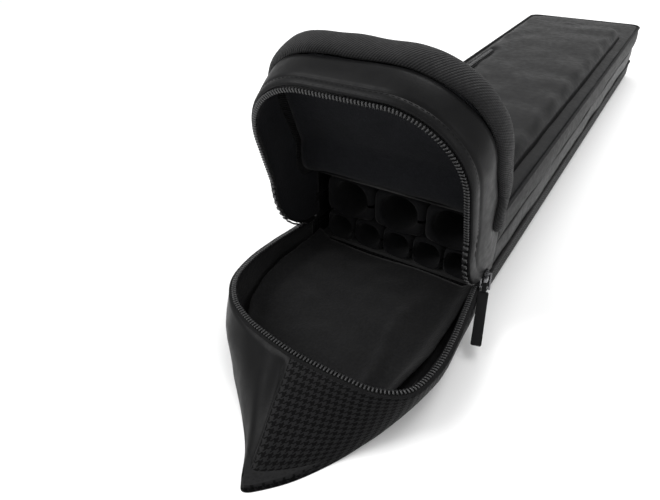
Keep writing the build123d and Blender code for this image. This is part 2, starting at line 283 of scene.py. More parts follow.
def knit(name, dark, light, scale, sheen):
    """Brushed knit lining with small dimples."""
    s = Shader(name)
    dimple = s.cells(scale)
    tone = s.math("ADD", s.math("MULTIPLY", dimple, 0.7), s.math("MULTIPLY", s.noise(35.0, 5.0), 0.6))
    colour = s.colour_mix(tone, dark, light)
    roughness = s.ramp(s.noise(220.0), 0.2, 0.8, 0.78, 0.95)
    normal = s.bump(dimple, 0.7, 0.0004)
    normal = s.bump(s.noise(1800.0, 4.0), 0.5, 0.0003, normal)
    return s.finish(colour, roughness, normal, Specular_IOR_Level=0.1, Sheen_Weight=sheen)


def plain_weave(name, dark, light, thread):
    """Narrow tape in a plain weave."""
    s = Shader(name)
    u, v = s.cloth()
    a = s.math("SINE", s.math("MULTIPLY", u, math.pi / thread))
    b = s.math("SINE", s.math("MULTIPLY", v, math.pi / thread))
    weave = s.math("MULTIPLY", a, b)
    colour = s.colour_mix(s.math("ADD", s.math("MULTIPLY", weave, 0.4), 0.5), dark, light)
    roughness = s.ramp(s.noise(400.0), 0.3, 0.7, 0.7, 0.88)
    return s.finish(colour, roughness, s.bump(weave, 0.5, 0.0003), Specular_IOR_Level=0.15)


def metal(name, dark, light, rough):
    """Plated die casting, with fine scratches and duller patches."""
    s = Shader(name)
    colour = s.colour_mix(s.noise(140.0, 5.0), dark, light)
    roughness = s.ramp(s.noise(420.0, 4.0), 0.3, 0.7, rough - 0.06, rough + 0.12)
    normal = s.bump(s.noise(900.0, 5.0), 0.12, 0.0001)
    return s.finish(colour, roughness, normal, Metallic=1.0)


def moulded(name, dark, light, rough):
    """Moulded plastic with a slight orange peel."""
    s = Shader(name)
    colour = s.colour_mix(s.noise(90.0, 4.0), dark, light)
    roughness = s.ramp(s.noise(350.0, 3.0), 0.3, 0.7, rough - 0.05, rough + 0.1)
    return s.finish(colour, roughness, s.bump(s.noise(700.0), 0.15, 0.0001), Specular_IOR_Level=0.45)


def plaster(name, tone):
    """Pale studio floor."""
    s = Shader(name)
    colour = s.colour_mix(s.noise(3.0), [tone * 0.99] * 3, [tone] * 3)
    roughness = s.ramp(s.noise(8.0), 0.0, 1.0, 0.75, 0.8)
    return s.finish(colour, roughness, s.bump(s.noise(60.0), 0.02, 0.0002))


VINYL = vinyl("smooth_vinyl", (0.0026, 0.0026, 0.0028), (0.0072, 0.0072, 0.0076), 0.38)
VINYL_DULL = vinyl("dull_vinyl", (0.0024, 0.0024, 0.0026), (0.0066, 0.0066, 0.007), 0.5)
CHECK = houndstooth("woven_vinyl", (0.0012, 0.0012, 0.0013), (0.0105, 0.0105, 0.011), 0.00062)
WEBBING = ribbed("ribbed_webbing", (0.0035, 0.0035, 0.004), (0.013, 0.013, 0.0135), 0.0021, 0.75)
LINING = knit("lining", (0.004, 0.0042, 0.005), (0.0125, 0.013, 0.0155), 900.0, 0.05)
FLEECE = knit("fleece_lining", (0.004, 0.004, 0.0043), (0.014, 0.014, 0.0145), 520.0, 0.08)
SLEEVE = knit("sleeve_lining", (0.0035, 0.0035, 0.004), (0.0105, 0.0105, 0.0115), 1400.0, 0.05)
TAPE = plain_weave("tape", (0.0025, 0.0025, 0.0025), (0.008, 0.008, 0.0085), 0.0006)
THREAD = plain_weave("thread", (0.002, 0.002, 0.002), (0.006, 0.006, 0.0065), 0.0004)
TEETH = moulded("zip_teeth", (0.006, 0.006, 0.0065), (0.022, 0.022, 0.023), 0.26)
METAL = metal("slider_metal", (0.10, 0.10, 0.105), (0.24, 0.24, 0.25), 0.24)
BOARD = moulded("board", (0.02, 0.02, 0.02), (0.04, 0.04, 0.04), 0.6)


# ---------------- mesh tools

def add_object(name, data):
    """New object in the scene."""
    obj = bpy.data.objects.new(name, data)
    bpy.context.scene.collection.objects.link(obj)
    return obj


def mesh_piece(name, verts, faces, materials, uvs=None, face_material=None):
    """New object from points in millimetres; uvs holds one (u, v) in metres per face corner."""
    mesh = bpy.data.meshes.new(name)
    mesh.from_pydata([Vector(v) * MM for v in verts], [], faces)
    for m in materials:
        mesh.materials.append(m)
    if uvs is not None:
        layer = mesh.uv_layers.new(name="cloth")
        for loop, uv in zip(layer.data, uvs):
            loop.uv = uv
    for k, polygon in enumerate(mesh.polygons):
        polygon.use_smooth = True
        if face_material is not None:
            polygon.material_index = face_material[k]
    return add_object(name, mesh)


def running_length(rows, j):
    total, out = 0.0, [0.0]
    for a, b in zip(rows, rows[1:]):
        total += (Vector(b[j]) - Vector(a[j])).length * MM
        out.append(total)
    return out


def loft(name, rows, materials, wrap=False, pick=None):
    """Surface through rows of points. wrap closes each row and caps both ends of the loft."""
    count = len(rows[0])
    verts = [tuple(p) for row in rows for p in row]
    along = running_length(rows, count // 2)
    middle = rows[len(rows) // 2]
    loop = list(middle) + ([middle[0]] if wrap else [])
    across = [0.0]
    for a, b in zip(loop, loop[1:]):
        across.append(across[-1] + (Vector(b) - Vector(a)).length * MM)
    faces, uvs, chosen = [], [], []
    steps = count if wrap else count - 1
    for i in range(len(rows) - 1):
        for j in range(steps):
            k = (j + 1) % count
            faces.append((i * count + j, i * count + k, (i + 1) * count + k, (i + 1) * count + j))
            uvs += [(along[i], across[j]), (along[i], across[j + 1]),
                    (along[i + 1], across[j + 1]), (along[i + 1], across[j])]
            chosen.append(pick(i, j) if pick else 0)
    if wrap:
        last = (len(rows) - 1) * count
        for ring in (range(count - 1, -1, -1), range(last, last + count)):
            ring = list(ring)
            faces.append(tuple(ring))
            uvs += [(verts[v][0] * MM, verts[v][2] * MM) for v in ring]
            chosen.append(0)
    obj = mesh_piece(name, verts, faces, materials, uvs, chosen)
    face_out(obj)
    return obj


def face_out(obj):
    """Make every face look outwards."""
    work = bmesh.new()
    work.from_mesh(obj.data)
    bmesh.ops.recalc_face_normals(work, faces=work.faces)
    work.to_mesh(obj.data)
    work.free()


def apply_modifiers(obj):
    """Replace the mesh with what its modifiers make of it."""
    bpy.context.view_layer.update()
    final = bpy.data.meshes.new_from_object(obj.evaluated_get(bpy.context.evaluated_depsgraph_get()))
    old = obj.data
    obj.modifiers.clear()
    obj.data = final
    bpy.data.meshes.remove(old)
    return obj


def thicken(obj, thickness, offset=-1.0):
    """Give an open sheet its thickness, in millimetres."""
    made = obj.modifiers.new("thickness", "SOLIDIFY")
    made.thickness = thickness * MM
    made.offset = offset
    made.use_even_offset = True
    return apply_modifiers(obj)


def inward_offset(obj, inside):
    """Offset that makes thicken() grow a sheet towards a point in millimetres."""
    target = Vector(inside) * MM
    lean = sum((target - p.center).dot(p.normal) * p.area for p in obj.data.polygons)
    return 1.0 if lean > 0 else -1.0


def subdivide(obj):
    """Round a piece off with one level of subdivision."""
    made = obj.modifiers.new("subdivision", "SUBSURF")
    made.levels = made.render_levels = 1
    return apply_modifiers(obj)


def crumple(obj, amount, size, seed, keep=None):
    """Move points by a smooth field, amount and size in millimetres; keep(point) fades it."""
    shift = Vector((seed * 3.7, seed * 1.3, seed * 2.1))
    for v in obj.data.vertices:
        fade = 1.0 if keep is None else keep(v.co / MM)
        v.co += noise.noise_vector(v.co / (size * MM) + shift) * amount * MM * fade
    return obj


def ring_faces(base, count, rings):
    """Faces of a closed solid made of rings of count points each, numbered from base."""
    faces = []
    for r in range(base, base + (rings - 1) * count, count):
        for k in range(count):
            n = (k + 1) % count
            faces.append((r + k, r + n, r + count + n, r + count + k))
    last = base + (rings - 1) * count
    faces.append(tuple(range(base + count - 1, base - 1, -1)))
    faces.append(tuple(range(last, last + count)))
    return faces


def solids(name, verts, faces, material):
    """Piece made of many small solids, which need no cloth coordinates of their own."""
    obj = mesh_piece(name, verts, faces, [material], [(0.0, 0.0)] * sum(len(f) for f in faces))
    face_out(obj)
    return obj


def stitch_line(name, points, normals, length=2.6, gap=1.3, width=0.55):
    """Row of thread stitches along a line, each a small rounded bead."""
    bead = ((-0.5, 0.25), (-0.3, 0.9), (0.3, 0.9), (0.5, 0.25))
    sides = 6
    verts, faces = [], []
    spans = [(Vector(b) - Vector(a)).length for a, b in zip(points, points[1:])]
    total = sum(spans)

    def place(distance):
        for k, span in enumerate(spans):
            if distance <= span or k == len(spans) - 1:
                t = distance / span if span else 0.0
                p = Vector(points[k]).lerp(Vector(points[k + 1]), t)
                n = Vector(normals[k]).lerp(Vector(normals[k + 1]), t).normalized()
                return p, (Vector(points[k + 1]) - Vector(points[k])).normalized(), n
            distance -= span

    at = gap
    while at + length < total:
        p, ahead, up = place(at + length / 2)
        side = ahead.cross(up).normalized()
        base = len(verts)
        for along, swell in bead:
            for k in range(sides):
                turn = 2 * math.pi * k / sides
                ring = side * math.cos(turn) + up * math.sin(turn)
                verts.append(p + ahead * along * length + ring * width * 0.5 * swell)
        faces += ring_faces(base, sides, len(bead))
        at += length + gap
    return solids(name, verts, faces, THREAD)


def join(name, objects):
    """One object from several, keeping their materials."""
    work = bmesh.new()
    materials = []
    for obj in objects:
        slots = []
        for m in obj.data.materials:
            if m not in materials:
                materials.append(m)
            slots.append(materials.index(m))
        mesh = obj.data.copy()
        mesh.transform(obj.matrix_world)
        before = len(work.faces)
        work.from_mesh(mesh)
        work.faces.ensure_lookup_table()
        for face in work.faces[before:]:
            face.material_index = slots[face.material_index]
        bpy.data.meshes.remove(mesh)
        bpy.data.objects.remove(obj)
    mesh = bpy.data.meshes.new(name)
    work.to_mesh(mesh)
    work.free()
    for m in materials:
        mesh.materials.append(m)
    return add_object(name, mesh)


def on_case(obj, replaced=()):
    """Fix a piece to the case in place of CAD nodes."""
    if replaced:
        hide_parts(*replaced)
    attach(obj, "case")


# ---------------- outline of the mouth

def u_line(back_y, step=3.0):
    """U outline from right to left: (x, y, outward x, outward y), about a step apart."""
    points = []
    radius, half, corner_y = ZIP_CORNER_R, HALF_W, ZIP_END_Y + ZIP_CORNER_R
    leg = back_y - corner_y
    n = max(2, round(leg / step))
    for k in range(n):
        points.append((half, back_y - leg * k / n, 1.0, 0.0))
    n = max(6, round(radius * math.pi / 2 / step))
    for k in range(n):
        a = math.pi / 2 * k / n
        points.append((half - radius + radius * math.cos(a), corner_y - radius * math.sin(a),
                       math.cos(a), -math.sin(a)))
    front = 2 * (half - radius)
    n = max(2, round(front / step / 2) * 2)
    for k in range(n // 2 + 1):
        points.append((half - radius - front * k / n, ZIP_END_Y, 0.0, -1.0))
    mirrored = [(-x, y, -nx, ny) for x, y, nx, ny in points[:-1]]
    return points + mirrored[::-1]


def half_width(y, grow=0.0):
    """Half-width of the U outline at y."""
    corner_y = ZIP_END_Y + ZIP_CORNER_R
    if y >= corner_y:
        return HALF_W + grow
    drop = min(corner_y - y, ZIP_CORNER_R + grow)
    return HALF_W - ZIP_CORNER_R + math.sqrt(max((ZIP_CORNER_R + grow) ** 2 - drop ** 2, 0.0))


def open_hood(obj):
    """Let a piece drawn on the closed case bend open with the hood."""
    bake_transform(obj, "case", "hood", start=(0, BEND_START_Y * MM, HINGE_Z * MM),
             end=(0, BEND_END_Y * MM, HINGE_Z * MM))
    weights = [d.value for d in obj.data.attributes["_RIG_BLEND"].data]
    hinge = Vector((0, HINGE_Y, HINGE_Z)) * MM
    for v, w in zip(obj.data.vertices, weights):
        turn = Matrix.Rotation(math.radians(-HOOD_OPEN) * w, 3, "X")
        v.co = hinge + turn @ (v.co - hinge)
    obj.data.update()
    return obj


# ---------------- hood

WALL_TOP_Z = 78.0
WALL_T = 3.2
# The strip along the zip, as shares of the wall's height: its sewn edge, and its two rows of stitches
STRIP_EDGE = 0.215
STITCH_ROWS = (0.055, 0.17)
# The lining: its back edge, and how far it stays inside the hood's outline at the front and sides
LINING_BACK_Y = 1.0
LINING_FRONT_GAP = 5.0
LINING_SIDE_GAP = 3.4


def hood_wall_offset(t):
    """How far the hood's wall stands out of the zip line, from rim (0) to band (1)."""
    return 2.4 * smooth(t) + 1.3 * math.sin(math.pi * t)


def make_hood_wall():
    """Vinyl wall with a turned strip along the zip, lined inside."""
    heights = [0.0, 0.015, 0.05, 0.12, 0.19, STRIP_EDGE, 0.24, 0.32, 0.45, 0.6, 0.75, 0.88, 0.96, 1.0]
    rows = []
    for x, y, nx, ny in u_line(4.0):
        low = zip_z(min(y, BODY_FRONT_Y)) + 0.8
        free = smooth((4.0 - y) / 14)
        outer, inner = [], []
        for t in heights:
            z = mix(low, WALL_TOP_Z, t)
            pinch = -0.8 * math.exp(-((t - STRIP_EDGE) / 0.016) ** 2)
            lip = -0.9 * math.exp(-(t / 0.02) ** 2)
            tuck = -3.0 * smooth((t - 0.88) / 0.12)
            o = (hood_wall_offset(t) + pinch + lip + tuck) * free + 0.3
            outer.append((x + nx * o, y + ny * o, z))
            o = hood_wall_offset(t) * free - WALL_T
            inner.append((x + nx * o, y + ny * o, z))
        rows.append(outer + inner[::-1])
    count = len(heights)
    wall = loft("hood_wall_vinyl", rows, [VINYL, LINING], wrap=True,
                pick=lambda i, j: 1 if count <= j < 2 * count - 1 else 0)
    crumple(wall, 1.3, 46.0, 4.0, keep=lambda p: smooth((p.z - zip_z(p.y)) / 25) * smooth(-p.y / 20))
    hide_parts("hood_wall")
    return open_hood(wall)


def make_hood_stitches():
    """Two rows of stitching in the strip along the hood's zip."""
    lines = []
    for t in STITCH_ROWS:
        points, normals = [], []
        for x, y, nx, ny in u_line(-32.0):
            o = hood_wall_offset(t) + 0.15
            points.append((x + nx * o, y + ny * o, mix(zip_z(y) + 0.8, WALL_TOP_Z, t)))
            normals.append((nx, ny, 0.0))
        lines.append(stitch_line("stitches", points, normals))
    return open_hood(join("hood_stitching", lines))


def make_hood_band():
    """Thick ribbed band that rolls over the edge of the hood's top."""
    section = [(0.6, 76.6), (4.2, 76.0), (7.0, 77.6), (8.2, 82.0), (8.4, 87.0), (7.6, 92.0),
               (5.4, 95.9), (1.8, 97.8), (-2.6, 98.2), (-6.2, 97.0), (-8.0, 95.0), (-4.0, 93.4),
               (0.6, 91.5), (2.4, 86.5), (2.4, 80.5)]
    rows = []
    for x, y, nx, ny in u_line(2.0):
        back = smooth((y + 20) / 20)
        rows.append([(x + nx * mix(o, 0.55 * o - 2.2, back), y + ny * o,
                      mix(z, 80.5 + (z - 86) * 0.3, back)) for o, z in section])
    band = loft("hood_ribbed_band", rows, [WEBBING], wrap=True)
    subdivide(band)
    crumple(band, 0.9, 24.0, 9.0)
    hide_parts("hood_band")
    return open_hood(band)


def panel_grid(y0, y1, grow, height, n=44, m=36):
    """Rows of points across the mouth's outline between two y, height(u, y) in z."""
    rows = []
    for i in range(n + 1):
        y = mix(y0, y1, math.sin(i / n * math.pi / 2) ** 0.8)
        half = half_width(y, grow)
        rows.append([(half * u, y, height(u, y)) for u in spread(m)])
    return rows


def make_hood_top():
    """Padded top of the hood, crowned inside its band."""
    def height(u, y):
        edge = smooth((1 - abs(u)) / 0.16) * smooth((y - (ZIP_END_Y + 4)) / 16)
        rise = smooth((4 - y) / 26)
        crown = 92.8 + 4.0 * edge + 0.8 * math.cos(u * 4.0) * smooth((-y - 20) / 30)
        return mix(TOP_Z - 0.5, crown, rise)
    top = loft("hood_top_panel", panel_grid(3.0, ZIP_END_Y + 4, -4.0, height), [VINYL])
    thicken(top, 3.0, inward_offset(top, (0, -70, 50)))
    crumple(top, 1.6, 42.0, 2.0)
    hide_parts("hood_top")
    return open_hood(top)


def make_hood_lining():
    """Knit lining inside the hood's top."""
    front_y = ZIP_END_Y + LINING_FRONT_GAP

    def height(u, y):
        edge = smooth((1 - abs(u)) / 0.2) * smooth((y - front_y) / 24)
        return mix(77.0, 84.0, smooth((2 - y) / 16)) + 3.5 * edge + 0.7 * math.sin(y / 17.0) * edge

    grid = panel_grid(LINING_BACK_Y, front_y, -LINING_SIDE_GAP, height)
    lining = loft("hood_lining_knit", grid, [LINING])
    crumple(lining, 1.8, 38.0, 6.0, keep=lambda p: smooth((p.y - front_y - 1) / 20))
    thicken(lining, 1.0)
    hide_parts("hood_lining")
    return open_hood(lining)


def tooth_row(name, line, lift, side, phase, pitch=2.6):
    """Row of moulded teeth along a line of (x, y, z, outward x, outward y).

    They stand along outward x ahead where side is 1, and the other way where it is -1.
    """
    verts, faces = [], []
    spans = [(Vector(b[:3]) - Vector(a[:3])).length for a, b in zip(line, line[1:])]
    total, k = sum(spans), 0
    profile = [(-1.5, -0.55), (0.6, -0.62), (1.5, -0.9), (2.3, -0.55), (2.3, 0.55), (1.5, 0.9),
               (0.6, 0.62), (-1.5, 0.55)]
    levels = ((0.0, 0.86), (0.35, 1.0), (1.25, 1.0), (1.6, 0.8))
    at, gone = phase, 0.0
    while at < total:
        while k < len(spans) - 1 and at > gone + spans[k]:
            gone += spans[k]
            k += 1
        a, b = Vector(line[k][:3]), Vector(line[k + 1][:3])
        p = a.lerp(b, (at - gone) / spans[k])
        ahead = (b - a).normalized()
        out = Vector((*line[k][3:], 0)).lerp(Vector((*line[k + 1][3:], 0)), 0.5)
        up = out.cross(ahead).normalized() * side
        out.normalize()
        base = len(verts)
        for level, shrink in levels:
            for o, w in profile:
                verts.append(p - out * (o * shrink) + ahead * (w * shrink) + up * (level + lift))
        faces += ring_faces(base, len(profile), len(levels))
        at += pitch
    return solids(name, verts, faces, TEETH)


def tape_strip(name, line, low, high, outer, inner):
    """Flat tape with its width between two offsets inwards of a line."""
    corners = ((outer, low), (inner, low), (inner, high), (outer, high))
    rows = [[(x - nx * o, y - ny * o, z + up) for o, up in corners] for x, y, z, nx, ny in line]
    return loft(name, rows, [TAPE], wrap=True)


def make_hood_zip():
    """Tape and teeth along the hood's rim."""
    line = [(x, y, zip_z(y), nx, ny) for x, y, nx, ny in u_line(-6.0)]
    strip = tape_strip("hood_zip_strip", line, 0.9, 1.7, 0.2, 6.4)
    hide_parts("hood_zip_tape")
    open_hood(strip)
    inset = [(x - nx * 3.4, y - ny * 3.4, z, nx, ny) for x, y, z, nx, ny in line]
    row = tooth_row("hood_zip_chain", inset, 0.2, 1, 1.3)
    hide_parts("hood_zip_teeth")
    open_hood(row)


def make_hood():
    make_hood_wall()
    make_hood_stitches()
    make_hood_band()
    make_hood_top()
    make_hood_lining()
    make_hood_zip()


# ---------------- lower lip

# Ribs of the lip from the right of the mouth round its toe to the left:
# foot x and y, then rim x, y and z
LIP_RIBS = [
    (88.0, -8.0, 88.0, -8.0, 29.7), (88.0, -34.0, 90.0, -32.0, 30.8),
    (88.5, -62.0, 94.0, -62.0, 31.2), (88.0, -94.0, 98.0, -94.0, 31.6),
    (86.0, -128.0, 99.0, -127.0, 32.2), (80.0, -162.0, 93.0, -156.0, 34.2),
    (68.0, -196.0, 74.0, -171.0, 37.0), (52.0, -225.0, 50.0, -175.0, 39.5),
    (37.0, -243.0, 28.0, -176.0, 41.0), (27.5, -250.0, 14.0, -176.0, 41.8),
    (21.0, -244.0, 3.0, -175.0, 42.2), (9.0, -226.0, -14.0, -172.0, 42.4),
    (-10.0, -207.0, -36.0, -166.0, 42.0), (-38.0, -182.0, -60.0, -153.0, 41.2),
    (-64.0, -150.0, -79.0, -130.0, 39.2), (-81.0, -114.0, -88.0, -98.0, 36.4),
    (-87.5, -74.0, -90.0, -64.0, 33.4), (-88.0, -38.0, -89.0, -35.0, 31.0),
    (-88.0, -8.0, -88.0, -8.0, 29.7),
]
LIP_TIP_RIB = 9
RIB_STEPS = 9


def smooth_curve(points, steps):
    """Catmull-Rom curve through points, with even steps between neighbours."""
    out = []
    for k in range(len(points) - 1):
        a, b = points[max(k - 1, 0)], points[k]
        c, d = points[k + 1], points[min(k + 2, len(points) - 1)]
        for q in range(steps):
            t = q / steps
            out.append(tuple(0.5 * (2 * pb + (pc - pa) * t + (2 * pa - 5 * pb + 4 * pc - pd) * t * t
                                    + (3 * pb - pa - 3 * pc + pd) * t ** 3)
                             for pa, pb, pc, pd in zip(a, b, c, d)))
    return out + [points[-1]]


def outward(points, k):
    """Outward direction in plan at point k of a curve that runs from right to left."""
    a, b = points[max(k - 1, 0)], points[min(k + 1, len(points) - 1)]
    dx, dy = b[0] - a[0], b[1] - a[1]
    length = math.hypot(dx, dy)
    return -dy / length, dx / length


def lip_curves():
    """Foot and rim of the lip, each with its outward direction at every point."""
    curve = smooth_curve(LIP_RIBS, RIB_STEPS)
    foot = [(p[0], p[1], 0.0) for p in curve]
    rim = [(p[2], p[3], p[4]) for p in curve]
    return ([(*p, *outward(foot, k)) for k, p in enumerate(foot)],
            [(*p, *outward(rim, k)) for k, p in enumerate(rim)])


def fold_lip(obj):
    """Let a piece of the lip bend down from the body's seam."""
    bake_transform(obj, "case", "lip", start=(0, LIP_BEND_START_Y * MM, 0), end=(0, LIP_BEND_END_Y * MM, 0))
    return obj


def make_lip():
    """Lower lip: a textured wall with a smooth part beyond its toe, lined inside."""
    foot, rim = lip_curves()
    levels = [0.0, 0.03, 0.08, 0.16, 0.28, 0.42, 0.56, 0.7, 0.82, 0.92, 1.0]
    tip = LIP_TIP_RIB * RIB_STEPS
    rows = []
    for k, (f, r) in enumerate(zip(foot, rim)):
        beyond = k - tip
        dent = 7.0 * math.exp(-((beyond - 7) / 4.5) ** 2)
        free = smooth((BODY_FRONT_Y - f[1]) / 20)
        outer, inner = [], []
        for t in levels:
            lean = t ** mix(1.0, 0.72, smooth((abs(f[1]) - 150) / 80))
            px, py = mix(f[0], r[0], lean), mix(f[1], r[1], lean)
            nx, ny = mix(f[3], r[3], t), mix(f[4], r[4], t)
            slump = free * math.sin(math.pi * t) * (2.4 - dent) - 0.8 * (1 - smooth(t / 0.08)) + 0.3
            pz = r[2] * t + 0.3
            outer.append((px + nx * slump, py + ny * slump, pz))
            ripple = free * 1.8 * math.sin(k / 4.3 + 3 * t) * math.sin(math.pi * t)
            depth = WALL_T + 3.4 * (1 - t) * free + ripple
            inner.append((px + nx * (slump - depth), py + ny * (slump - depth), max(pz, 4.4)))
        rows.append(outer + inner[::-1])
    count = len(levels)
    vinyl_from, vinyl_to = tip + 1, tip + 5 * RIB_STEPS

    def pick(i, j):
        if count <= j < 2 * count - 1:
            return 1
        return 2 if vinyl_from <= i < vinyl_to else 0

    wall = loft("lip_outer", rows, [CHECK, FLEECE, VINYL], wrap=True, pick=pick)
    crumple(wall, 2.2, 50.0, 3.0, keep=lambda p: smooth(p.z / 14) * (1 - smooth((p.z - 24) / 14))
            * smooth((BODY_FRONT_Y - p.y) / 20))
    rows = []
    inset = [(x - nx * 2.6, y - ny * 2.6) for x, y, z, nx, ny in foot]
    for k in range(len(inset) // 2):
        a, b = inset[k], inset[-1 - k]
        rows.append([(mix(a[0], b[0], j / 24), mix(a[1], b[1], j / 24), 2.4) for j in range(25)])
    base = loft("lip_base", rows, [CHECK, FLEECE])
    thicken(base, 4.2, 0.0)
    for polygon in base.data.polygons:
        polygon.material_index = 1 if polygon.normal.z > 0.5 else 0
    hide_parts("lip_shell")
    for obj in (wall, base):
        fold_lip(obj)
    strip = tape_strip("lip_zip_strip", rim, -0.2, 0.6, -0.4, 6.2)
    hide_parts("lip_zip_tape")
    fold_lip(strip)
    inset = [(x - nx * 3.2, y - ny * 3.2, z, nx, ny) for x, y, z, nx, ny in rim]
    row = tooth_row("lip_zip_chain", inset[2:-2], 0.7, -1, 0.0)
    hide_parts("lip_zip_teeth")
    fold_lip(row)


def foot_reach(y, side):
    """Half-width of the lip's foot at y, on the right (1) or the left (-1)."""
    foot = [p[:2] for p in smooth_curve(LIP_RIBS, RIB_STEPS)]
    tip = LIP_TIP_RIB * RIB_STEPS
    run = foot[:tip + 1] if side > 0 else foot[:tip - 1:-1]
    for a, b in zip(run, run[1:]):
        if b[1] <= y <= a[1]:
            return mix(a[0], b[0], (a[1] - y) / max(a[1] - b[1], 0.001))
    return run[0][0] if y > run[0][1] else run[-1][0]


def make_lip_lining():
    """Fleece that lies loose on the floor of the lip, in low folds."""
    n, m = 66, 56
    rows = []
    for i in range(n + 1):
        y = mix(-3.0, -200.0, i / n)
        toe = smooth((-y - 110) / 80)
        right, left = foot_reach(y, 1) - 8 - 9 * toe, foot_reach(y, -1) + 8 + 12 * toe
        row = []
        for u in spread(m):
            fold = math.sin(u * 5.0 + y / 24.0) * math.sin(y / 31.0 + 0.6)
            ridge = 3.2 * math.exp(-((u - 0.62 - 0.1 * math.sin(y / 40)) / 0.07) ** 2)
            ridge *= smooth((-y - 30) / 40) * smooth((y + 190) / 40)
            row.append((mix(left, right, (u + 1) / 2), y,
                        7.4 + 2.2 * fold + ridge + 9.0 * (1 - toe) * smooth((abs(u) - 0.84) / 0.16)))
        rows.append(row)
    sheet = loft("lip_lining_fleece", rows, [FLEECE])
    crumple(sheet, 1.4, 18.0, 5.0, keep=lambda p: smooth((-4 - p.y) / 12))
    thicken(sheet, 1.4)
    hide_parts("lip_lining")
    fold_lip(sheet)


# ---------------- body

def body_section(n=6):
    """Half of the back shell's section, from its middle to its right-hand rim."""
    corner = 7.0
    points = [((HALF_W - corner) * k / 7, 0.0) for k in range(8)]
    for k in range(1, n + 1):
        a = math.pi / 2 * k / n
        points.append((HALF_W - corner + corner * math.sin(a), corner - corner * math.cos(a)))
    points += [(HALF_W, mix(corner, SHELL_TOP, k / 3)) for k in (1, 2, 3)]
    return points


def corner_half(y, half=HALF_W):
    """Half-width of the body's plan at y, which turns in at its far corners."""
    reach = max(0.0, y - (BODY_END - CORNER_R))
    return half - CORNER_R + math.sqrt(max(0.0, CORNER_R ** 2 - reach ** 2))


def corner_steps(end, n=6):
    """Places along the case through the far corners, closer together as they turn in."""
    start = BODY_END - CORNER_R
    return [mix(start, end, math.sin(math.pi / 2 * k / n)) for k in range(1, n + 1)]


def body_rows(y0, y1, section, step=14.0):
    """The section repeated along the case, narrowed where the far corners turn in."""
    n = round((BODY_END - CORNER_R - y0) / step)
    places = [mix(y0, BODY_END - CORNER_R, i / n) for i in range(n + 1)] + corner_steps(y1)
    return [[(x * corner_half(y) / HALF_W, y, z) for x, z in section] for y in places]


def mirror_section(half):
    """Whole section from its right half."""
    return [(-x, z) for x, z in half[:0:-1]] + half


def make_back_shell():
    """Textured back shell with rounded edges and a turned rim."""
    section = mirror_section(body_section())
    channel = loft("back_channel", body_rows(BODY_FRONT_Y, BODY_END - 4.5, section), [CHECK])
    thicken(channel, 3.6, inward_offset(channel, (0, 300, 40)))
    rows = [[(x * corner_half(y) / HALF_W * inset, y, mix(SHELL_TOP, z, inset)) for x, z in section]
            for y, inset in ((BODY_END - 5, 0.985), (BODY_END - 2.5, 0.997), (BODY_END - 1, 0.999),
                             (BODY_END - 0.2, 0.99))]
    end = loft("back_end", rows, [CHECK], wrap=True)
    shell = join("back_shell", [channel, end])
    on_case(shell, ("base_shell",))


def gusset_points(z0, z1, bulge, n=10):
    """Profile of a side panel: outward bulge against height."""
    return [(bulge * math.sin(math.pi * k / n) ** 0.7, mix(z0, z1, k / n)) for k in range(n + 1)]


def body_outline(inset, step=10.0):
    """Plan of the body from the right of the mouth, round the far end, to the left."""
    points = []
    n = round((BODY_END - CORNER_R) / step)
    half, end = HALF_W - inset, BODY_END - inset
    for k in range(n):
        points.append((half, (BODY_END - CORNER_R) * k / n, 1.0, 0.0))
    n = 8
    for k in range(n + 1):
        a = math.pi / 2 * k / n
        points.append((half - CORNER_R + CORNER_R * math.cos(a), end - CORNER_R + CORNER_R * math.sin(a),
                       math.cos(a), math.sin(a)))
    for k in range(1, n + 1):
        points.append((mix(half - CORNER_R, 0, k / n), end, 0.0, 1.0))
    return points + [(-x, y, -nx, ny) for x, y, nx, ny in points[-2::-1]]


def make_gussets():
    """Smooth side and end panels in two strips with a seam between them."""
    seam_z = 50.0
    strips = (("side_strip_low", SHELL_TOP - 1.5, seam_z, 1.6, VINYL, 7.0,
               ("side_gusset_left", "side_gusset_right", "end_gusset")),
              ("side_strip_high", seam_z, TOP_Z - 3.0, 2.2, VINYL_DULL, 8.0, ()))
    for name, z0, z1, bulge, material, seed, replaced in strips:
        rows = []
        for x, y, nx, ny in body_outline(1.6):
            rows.append([(x + nx * o, y + ny * o, z) for o, z in gusset_points(z0, z1, bulge)])
        strip = loft(name, rows, [material])
        thicken(strip, 2.6, inward_offset(strip, (0, 350, (z0 + z1) / 2)))
        crumple(strip, 1.3, 60.0, seed)
        on_case(strip, replaced)


def tube(name, points, radius, material, sides=10):
    """Round piping through points that lie level."""
    rows = []
    vectors = [Vector(p) for p in points]
    for k, p in enumerate(vectors):
        before, after = vectors[max(k - 1, 0)], vectors[min(k + 1, len(vectors) - 1)]
        ahead = (after - before).normalized()
        side = ahead.cross(Vector((0, 0, 1))).normalized()
        up = side.cross(ahead)
        rows.append([p + side * radius * math.cos(a) + up * radius * math.sin(a)
                     for a in (2 * math.pi * q / sides for q in range(sides))])
    return loft(name, rows, [material], wrap=True)


def make_piping():
    """Piping where the side panels meet the back shell and the front panel."""
    for name, z, inset in (("piping_low", SHELL_TOP, 0.4), ("piping_high", TOP_Z - 3.4, 0.6)):
        pipe = tube(name, [(*point[:2], z) for point in body_outline(inset)], 1.9, VINYL_DULL)
        on_case(pipe)


